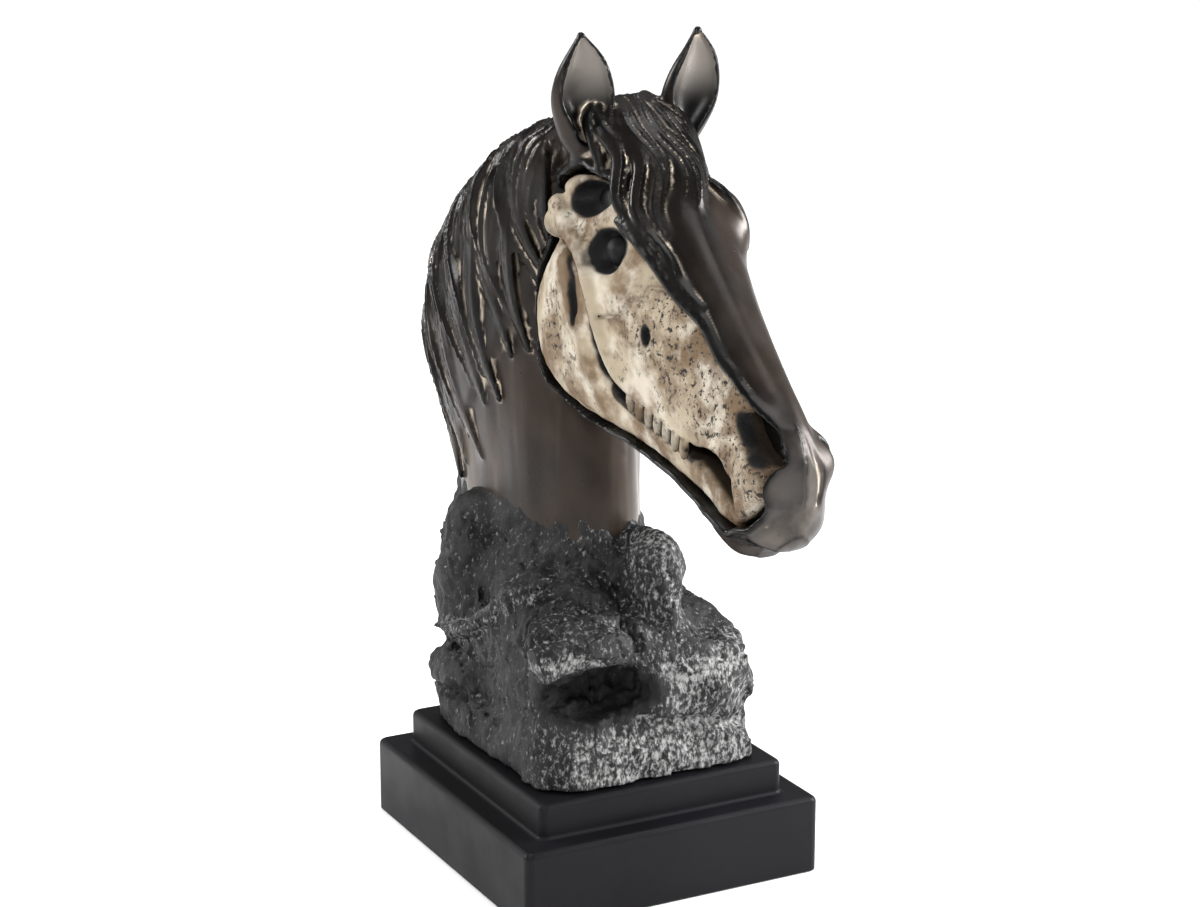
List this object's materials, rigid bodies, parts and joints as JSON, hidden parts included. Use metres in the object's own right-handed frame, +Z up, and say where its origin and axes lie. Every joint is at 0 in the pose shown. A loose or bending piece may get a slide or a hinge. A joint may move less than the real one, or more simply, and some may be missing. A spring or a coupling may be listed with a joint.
{
  "type": "horse head sculpture",
  "caption": "Cast resin horse's head rising from a rough rock on a stepped plinth, its right side worn away to the skull.",
  "frame": {"origin": "middle of the plinth's flat underside", "axes": "+Z up from the underside to the ears, -Y towards the muzzle, +X to the horse's left, the whole side of its face"},
  "size_m": [0.1296, 0.2674, 0.3365],
  "materials": {
    "bronze": "dark bronze paint on cast resin, semi-gloss, rubbed bright on the ridges",
    "bone": "cream paint with ochre washes, black pits and cracks",
    "rock": "charcoal paint, rough, dry-brushed with pale grey on its high points",
    "plinth": "satin black paint"
  },
  "bodies": {
    "root": {"horse_head_on_rock": "bronze", "stepped_plinth": "plinth"}
  },
  "joints": []
}
